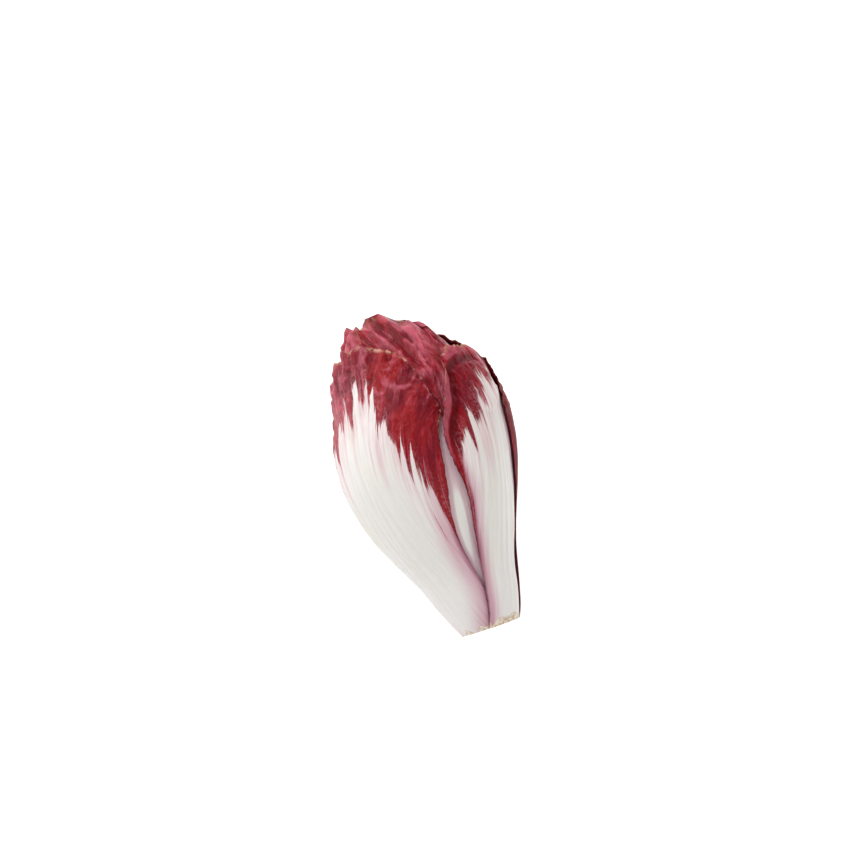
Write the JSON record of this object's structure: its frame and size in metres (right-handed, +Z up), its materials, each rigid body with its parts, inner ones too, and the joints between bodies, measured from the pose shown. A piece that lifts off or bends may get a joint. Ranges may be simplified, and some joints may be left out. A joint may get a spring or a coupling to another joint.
{
  "type": "radicchio head",
  "caption": "Elongated radicchio head lying on its side: red leaves on broad white ribs wrapped round a short cut stem, tips folded together at the crown.",
  "frame": {"origin": "bottom centre of the bounding box, on the surface the head rests on", "axes": "+Z up; +Y along the lying head from the cut stem towards the crown; +X to the right seen from the cut stem"},
  "size_m": [0.086, 0.1546, 0.0826],
  "materials": {
    "outer_leaf": "satin waxy leaf, white on the broad rib and dark red towards the tip",
    "red_leaf": "satin waxy leaf, dark red with a white rib below",
    "cut_stem": "moist cut plant tissue, cream with a browned rim"
  },
  "bodies": {
    "root": {"outer_leaf_1": "outer_leaf", "outer_leaf_2": "outer_leaf", "outer_leaf_3": "outer_leaf", "outer_leaf_4": "outer_leaf", "middle_leaf_1": "red_leaf", "middle_leaf_2": "red_leaf", "middle_leaf_3": "red_leaf", "middle_leaf_4": "red_leaf", "inner_leaf_1": "red_leaf", "inner_leaf_2": "red_leaf", "inner_leaf_3": "red_leaf", "inner_leaf_4": "red_leaf", "heart": "red_leaf", "stem": "cut_stem"}
  },
  "joints": []
}
